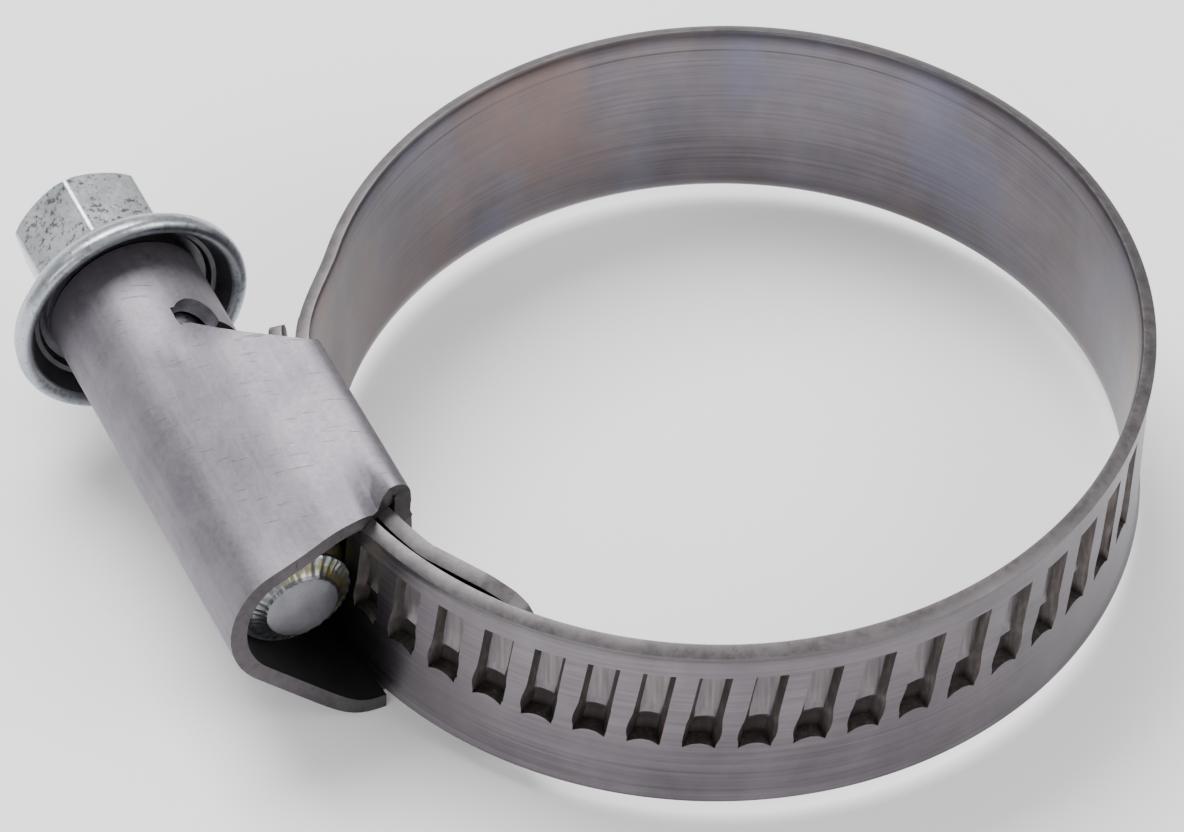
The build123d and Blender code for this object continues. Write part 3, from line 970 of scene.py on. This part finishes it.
def trim_ends(bm, housing):
    """Bevel the rear of the folded body, clip the curl there and cut the front of the base."""
    turn = math.radians(housing.rear_turn)
    normal = Vector((math.cos(turn), math.sin(turn), 0))
    side, rear, place = housing.rear_side, housing.rear_y, housing.rear_reach * normal
    cut(bm, (side, 0, 0), (1, 0, 0))
    trim(bm, place, -normal, lambda at: at.y > rear and at.x < side and at.z < SCREW_Z)
    trim(
        bm,
        place + Vector((0, 0, BAND_W + 1.05 * MM)),
        -normal + Vector((0, 0, REAR_TILT)),
        lambda at: at.y > rear and at.x < side and at.z > SCREW_Z,
    )
    corner = (housing.curl_x, -6.2 * MM, 0)
    trim(bm, corner, (-0.8, -0.6, 0), lambda at: at.x < 21.6 * MM and at.y > rear)
    front = (0, housing.curl_front, 0)
    trim(bm, front, (0, 1, 0), lambda at: at.x < 22.15 * MM and at.z < ROOF_FROM)


def relief_tool(housing):
    """Round cutter for the relief hole, between the neck and the folded body."""
    bm = bmesh.new()
    radius = housing.relief_radius
    bmesh.ops.create_cone(
        bm, cap_ends=True, segments=40, radius1=radius, radius2=radius, depth=3.4 * MM
    )
    place = Matrix.Translation((SCREW_X, housing.rear_y - 0.25 * MM, SCREW_Z))
    place = place @ Matrix.Rotation(math.radians(RELIEF_TURN), 4, "Y")
    place = place @ Matrix.Translation((0, 0, 4.3 * MM))
    bmesh.ops.transform(bm, matrix=place, verts=bm.verts)
    return finish_mesh(bm, "relief_tool", [])


class HOSECLAMP_OT_housing(bpy.types.Operator):
    """Fold the housing from one sheet: saddle, curls, tunnel, front lip, neck and relief"""

    bl_idname = "hoseclamp.housing"
    bl_label = "Build housing"

    def execute(self, context):
        housing, colours = context.scene.hoseclamp_housing, context.scene.hoseclamp_colours
        bm = folded_skin(housing)
        trim_ends(bm, housing)
        open_seam(bm)
        materials = [
            housing_steel("satin_sheet", colours.housing, colours.housing_dark),
            housing_steel("sheared_sheet", colours.lip, colours.lip_dark),
            worn_edge(colours),
            dark_inside(colours),
        ]
        # Index 3 gives the sheet's inner faces the near-black painted shade.
        lip, edge, inside = 1, 2, 3
        piece = finish_mesh(bm, "folded_housing", materials)
        modify(
            piece, "SOLIDIFY", thickness=housing.sheet, offset=-1, use_even_offset=True,
            material_offset_rim=lip, material_offset=inside,
        )
        combine(piece, relief_tool(housing), "DIFFERENCE")
        # Short edges clamp this bevel to next to nothing, so the sheet's cut edges stay sharp
        # and no face that lasts takes the worn edge's finish.
        modify(
            piece, "BEVEL", width=0.09 * MM, segments=2, limit_method="ANGLE",
            angle_limit=math.radians(50), material=edge,
        )
        bm = reopen(piece)
        bmesh.ops.remove_doubles(bm, verts=bm.verts, dist=2e-6)
        bmesh.ops.dissolve_degenerate(bm, edges=bm.edges, dist=1e-6)
        piece = finish_mesh(bm, "folded_housing", materials, 38)
        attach(piece, "root")
        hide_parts("housing")
        return {"FINISHED"}


# ---- screw

WORM_TURNS, TURN_STEPS = 6, 36
TEETH, TEETH_FROM = 33, 2.05 * MM  # teeth of the chamfer, and where they start

# Cup of the flange: radius and depth behind its rim, in millimetres.
FLANGE_CUP = (
    (5.45, 0.85),
    (5.2, 1.25),
    (4.95, 1.3),
    (4.75, 1.62),
    (4.3, 1.68),
    (4.2, 1.4),
    (3.75, 1.35),
    (3.6, 1.7),
    (0, 1.7),
)


def hexagon(screw, materials):
    """Hexagon with worn upright edges and a domed end."""
    base, top = -screw.back_y - 0.4 * MM, -SCREW_LOW.y
    radius = screw.across_flats / math.sqrt(3)
    turn = Matrix.Rotation(math.radians(screw.hex_turn), 3, "Z")
    bm = bmesh.new()
    bmesh.ops.create_cone(
        bm, cap_ends=True, segments=6, radius1=radius, radius2=radius, depth=top - base
    )
    bmesh.ops.rotate(bm, cent=(0, 0, 0), matrix=turn, verts=bm.verts)
    bmesh.ops.translate(bm, vec=(0, 0, (base + top) / 2), verts=bm.verts)
    upright = [e for e in bm.edges if abs(e.verts[0].co.z - e.verts[1].co.z) > MM]
    bevel(bm, upright, 0.18 * MM, 3, material=1, clamp=False)
    hexagonal = finish_mesh(bm, "hexagon", materials)
    wide, flat, dome_height = radius + MM, 2.9 * MM, 1.05 * MM
    outline = [(0, base - MM), (wide, base - MM), (wide, top - 1.5 * MM)]
    for step in range(7):
        turn = math.radians(15 * step)
        reach = (radius + 0.12 * MM - flat) * math.cos(turn)
        outline.append((flat + reach, top - dome_height + dome_height * math.sin(turn)))
    outline.append((0, top))
    dome = finish_mesh(turned(outline, 96), "dome_tool", materials[:1])
    combine(hexagonal, dome, "INTERSECT")
    return reopen(hexagonal)


def flange_outline(screw):
    """Section of the dished flange with its rolled rim, cup and inner neck ring."""
    rim, back, reach = -screw.rim_y, -screw.back_y, screw.flange_radius
    foot, roll_r = (3.7 * MM, back), 0.46 * MM
    outline = [(0, back), foot]
    shoulder, side = (5.3 * MM, back - 0.25 * MM), (reach - 0.15 * MM, rim + 1.0 * MM)
    outline += rounded(shoulder, foot, side, 1.6 * MM)
    outline += [(reach - 0.1 * MM, rim + 0.95 * MM)]
    centre = (reach - roll_r, rim + roll_r)
    for step in range(9):
        turn = math.radians(-22.5 * step + 20)
        outline.append((centre[0] + roll_r * math.cos(turn), centre[1] + roll_r * math.sin(turn)))
    outline += [(radius * MM, rim + depth * MM) for radius, depth in FLANGE_CUP]
    return outline


def worm(screw, band):
    """Journal and core of the screw, and the helical ridge of the worm on it."""
    tip, rear = -SCREW_HIGH.y, -screw.worm_rear_y
    core, crest = screw.core_radius, screw.worm_radius
    journal, floor = crest - 0.1 * MM, 2.3 * MM
    groove_low, groove_high = 15.0 * MM - 0.2 * MM, 16.0 * MM + 0.2 * MM
    end = -screw.rim_y + 1.9 * MM
    outline = [
        (0, tip + 1.0 * MM),
        (core, tip + 1.0 * MM),
        (core, rear - 0.4 * MM),
        (journal, rear),
        (journal, groove_low),
        (floor, groove_low),
        (floor, groove_high),
        (journal, groove_high),
        (journal, end),
        (0, end),
    ]
    bm = turned(outline, 64)
    root, foot_half, crest_half = core - 0.2 * MM, 0.8 * MM, 0.46 * MM
    points = [(root, -foot_half), (crest, -crest_half), (crest, crest_half), (root, foot_half)]
    ridge = bmesh.new()
    face = ridge.faces.new([ridge.verts.new((radius, 0, height)) for radius, height in points])
    bmesh.ops.spin(
        ridge, geom=[face], cent=(0, 0, 0), axis=(0, 0, 1), dvec=(0, 0, band.pitch / TURN_STEPS),
        angle=2 * math.pi * WORM_TURNS, steps=TURN_STEPS * WORM_TURNS, use_merge=False,
    )
    start = -ARC_CENTRE.y - 2 * band.pitch
    half_turn = Matrix.Rotation(math.pi, 3, "Z")
    bmesh.ops.rotate(ridge, cent=(0, 0, 0), matrix=half_turn, verts=ridge.verts)
    bmesh.ops.translate(ridge, vec=(0, 0, start), verts=ridge.verts)
    bmesh.ops.remove_doubles(ridge, verts=ridge.verts, dist=1e-7)
    cut(ridge, (0, 0, tip + 1.0 * MM), (0, 0, -1), clear_outer=True)
    bmesh.ops.holes_fill(ridge, edges=[e for e in ridge.edges if e.is_boundary], sides=0)
    for vert in ridge.verts:
        limit = crest - max(0.0, 0.55 * MM - (vert.co.z - tip))
        away = math.hypot(vert.co.x, vert.co.y)
        if away > limit:
            vert.co.xy *= limit / away
    bmesh.ops.recalc_face_normals(ridge, faces=ridge.faces)
    return bm, ridge


def screw_tip(screw):
    """Flat end of the screw with the toothed chamfer of its last thread."""
    tip = -SCREW_HIGH.y
    crest = screw.worm_radius - 0.3 * MM
    outline = [
        (0, tip),
        (1.88 * MM, tip),
        (1.98 * MM, tip + 0.05 * MM),
        (2.1 * MM, tip + 0.22 * MM),
        (2.5 * MM, tip + 0.5 * MM),
        (crest - 0.12 * MM, tip + 0.62 * MM),
        (crest, tip + 0.74 * MM),
        (crest, tip + 0.95 * MM),
        (crest - 0.3 * MM, tip + 1.15 * MM),
        (0, tip + 1.15 * MM),
    ]
    bm = turned(outline, 144)
    for vert in bm.verts:
        away = math.hypot(vert.co.x, vert.co.y)
        if vert.co.z < tip + 0.1 * MM or away < TEETH_FROM:
            continue
        turn = math.atan2(vert.co.y, vert.co.x)
        tooth = 0.5 + 0.5 * math.sin(TEETH * turn + 2.2 * math.sin(5 * turn))
        vert.co.z += 0.09 * MM * tooth * smoothstep(TEETH_FROM, 2.5 * MM, away)
        vert.co.xy *= 1 - 0.012 * tooth
    # Faces left at index 0, the flat end, keep the dull zinc darkened as painted shade.
    for face in bm.faces:
        centre = face.calc_center_median()
        if math.hypot(centre.x, centre.y) > TEETH_FROM:
            face.material_index = 1 if centre.z < tip + 0.6 * MM else 2
    return bm


def dished_flange(screw):
    """Flange whose dish, turned towards the neck, takes the darker tip zinc as painted shade."""
    bm = turned(flange_outline(screw), 128)
    rim = -screw.rim_y
    for face in bm.faces:
        centre = face.calc_center_median()
        if math.hypot(centre.x, centre.y) < 5.6 * MM and centre.z < rim + 1.75 * MM:
            face.material_index = 1
    return bm


class HOSECLAMP_OT_screw(bpy.types.Operator):
    """Turn the screw: hexagon, dished flange, journal and worm"""

    bl_idname = "hoseclamp.screw"
    bl_label = "Build screw"

    def execute(self, context):
        screw, colours = context.scene.hoseclamp_screw, context.scene.hoseclamp_colours
        band = context.scene.hoseclamp_band
        plated = zinc_plate("zinc_plate", colours, colours.zinc, 0.85)
        flange = zinc_plate("zinc_flange", colours, colours.zinc_flange, 0.45)
        # Dull zinc darkened as painted shade, for the screw's tip and the flange's dish.
        dull_zinc_shade = zinc_plate("zinc_tip", colours, colours.zinc_tip, 0.4)
        bright = zinc_plate("zinc_worn", colours, colours.zinc_bright)
        yellow = passivated_thread(colours)
        core, ridge = worm(screw, band)
        parts = {
            "screw_hexagon": (hexagon(screw, [plated, bright]), [plated, bright], 30),
            "screw_flange": (dished_flange(screw), [flange, dull_zinc_shade], 34),
            "screw_tip": (screw_tip(screw), [dull_zinc_shade, yellow, bright], 30),
            "screw_core": (core, [plated], 34),
            "screw_thread": (ridge, [yellow], 34),
        }
        for name, (bm, materials, sharp) in parts.items():
            bmesh.ops.transform(bm, matrix=on_screw(), verts=bm.verts)
            piece = finish_mesh(bm, name, materials, sharp)
            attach(piece, "screw")
            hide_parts("worm_screw")
        return {"FINISHED"}


# ---- stage

AZIMUTH, ELEVATION, ROLL = 64.1, 47.85, 0.56  # of the camera, in degrees
DISTANCE, LENS = 0.3048, 175.5
SKY_STRENGTH = 0.62

# Each light's name, place (to the right, up and towards the camera), size and power.
LIGHTS = (
    ("key_light", -0.2, 0.55, -0.3, 0.4, 6.5),
    ("fill_light", 0.45, 0.4, 0.15, 0.35, 2.0),
    ("front_light", -0.3, 0.35, 0.5, 0.2, 0.8),
)


def soft_light(name, place, target, size, watts):
    """Square soft box that looks at a point."""
    data = bpy.data.lights.new(name, "AREA")
    data.shape = "SQUARE"
    data.size = size
    data.energy = watts
    light = bpy.data.objects.new(name, data)
    light.location = place
    light.rotation_euler = (Vector(place) - Vector(target)).to_track_quat("Z", "Y").to_euler()
    bpy.context.scene.collection.objects.link(light)


class HOSECLAMP_OT_stage(bpy.types.Operator):
    """Lay the pale floor, hang the soft lights and set the camera"""

    bl_idname = "hoseclamp.stage"
    bl_label = "Set stage"

    def execute(self, context):
        colours, scene = context.scene.hoseclamp_colours, context.scene
        bm = bmesh.new()
        bmesh.ops.create_grid(bm, x_segments=1, y_segments=1, size=1.5)
        bmesh.ops.translate(bm, vec=(0, 0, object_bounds()[0][2]), verts=bm.verts)
        pale = Finish("pale_floor")
        pale.set(Base_Color=colours.floor, Roughness=0.9)
        pale.set(Emission_Color=colours.floor, Emission_Strength=0.12)
        floor = finish_mesh(bm, "floor", [pale.material])
        floor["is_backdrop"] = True
        scene.world = bpy.data.worlds.new("studio")
        scene.world.use_nodes = True
        sky = scene.world.node_tree.nodes["Background"].inputs
        sky["Color"].default_value = (1, 1, 1, 1)
        sky["Strength"].default_value = SKY_STRENGTH
        level, right = Vector((*spoke(AZIMUTH), 0)), Vector((*spoke(AZIMUTH + 90), 0))
        tilt = spoke(ELEVATION)
        back = tilt.x * level + Vector((0, 0, tilt.y))
        up = back.cross(right)
        target = Vector((0, 0, BAND_W / 2)) - 7.37 * MM * right - 1.32 * MM * up
        for name, side, height, depth, size, watts in LIGHTS:
            place = side * right + depth * level + Vector((0, 0, height))
            soft_light(name, place, target, size, watts)
        data = bpy.data.cameras.new("camera")
        data.lens = LENS
        data.clip_start = 0.01
        camera = bpy.data.objects.new("camera", data)
        turn = Matrix((right, up, back)).transposed().to_4x4()
        turn = turn @ Matrix.Rotation(math.radians(ROLL), 4, "Z")
        camera.matrix_world = Matrix.Translation(target + DISTANCE * back) @ turn
        scene.collection.objects.link(camera)
        scene.camera = camera
        return {"FINISHED"}


# ---- registration


class HOSECLAMP_PT_panel(bpy.types.Panel):
    """Sizes, colours and build steps of the hose clamp"""

    bl_idname = "HOSECLAMP_PT_panel"
    bl_label = "Hose clamp"
    bl_space_type = "VIEW_3D"
    bl_region_type = "UI"
    bl_category = "Hose clamp"

    def draw(self, context):
        for group in GROUPS:
            sizes = getattr(context.scene, group)
            box = self.layout.box()
            for name in sizes.bl_rna.properties.keys():
                if name not in ("rna_type", "name"):
                    box.prop(sizes, name)
        for operator in OPERATORS:
            self.layout.operator(operator.bl_idname)


GROUPS = {
    "hoseclamp_band": HoseClampBand,
    "hoseclamp_housing": HoseClampHousing,
    "hoseclamp_screw": HoseClampScrew,
    "hoseclamp_colours": HoseClampColours,
}
OPERATORS = (HOSECLAMP_OT_band, HOSECLAMP_OT_housing, HOSECLAMP_OT_screw, HOSECLAMP_OT_stage)


def register():
    for kind in (*GROUPS.values(), *OPERATORS, HOSECLAMP_PT_panel):
        bpy.utils.register_class(kind)
    for name, group in GROUPS.items():
        setattr(bpy.types.Scene, name, bpy.props.PointerProperty(type=group))


def unregister():
    for name in GROUPS:
        delattr(bpy.types.Scene, name)
    for kind in (HOSECLAMP_PT_panel, *reversed(OPERATORS), *reversed(GROUPS.values())):
        bpy.utils.unregister_class(kind)


def main():
    register()
    bpy.ops.hoseclamp.band()
    bpy.ops.hoseclamp.housing()
    bpy.ops.hoseclamp.screw()
    bpy.ops.hoseclamp.stage()


if __name__ == "__main__":
    main()
